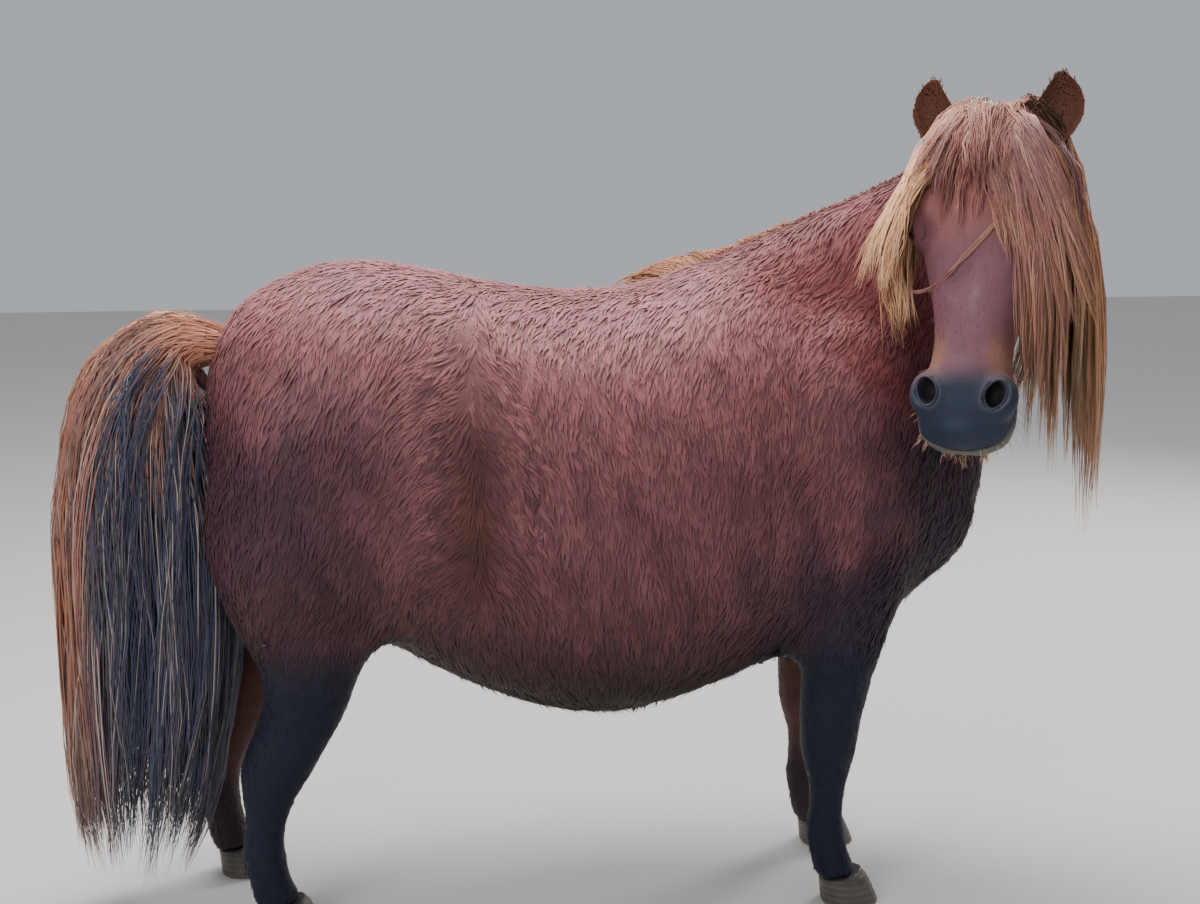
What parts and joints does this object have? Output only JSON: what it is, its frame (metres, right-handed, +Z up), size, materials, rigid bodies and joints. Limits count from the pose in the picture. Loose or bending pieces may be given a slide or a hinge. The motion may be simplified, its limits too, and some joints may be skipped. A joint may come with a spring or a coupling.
{
  "type": "shetland pony",
  "caption": "Life-size still model of a stout Shetland pony with a long mane, forelock and tail, standing with its head turned to its own right.",
  "frame": {"origin": "on the floor, under the middle of the pony's bounding box", "axes": "+X towards the chest, +Y towards the pony's left side, +Z up"},
  "size_m": [1.596, 0.6794, 1.2651],
  "materials": {
    "coat": "long soft winter hair, chestnut",
    "hair": "long flaxen to ginger hair",
    "tail_hair": "long coarse hair, ginger to black",
    "eye": "moist and shiny, nearly black",
    "hoof": "dull dark horn"
  },
  "bodies": {
    "root": {"ear_left": "coat", "ear_right": "coat", "eye_left": "eye", "eye_right": "eye", "forelock": "hair", "head": "coat", "hoof_fore_left": "hoof", "hoof_fore_right": "hoof", "hoof_hind_left": "hoof", "hoof_hind_right": "hoof", "leg_fore_left": "coat", "leg_fore_right": "coat", "leg_hind_left": "coat", "leg_hind_right": "coat", "mane": "hair", "neck": "coat", "tail": "tail_hair", "torso": "coat"}
  },
  "joints": []
}
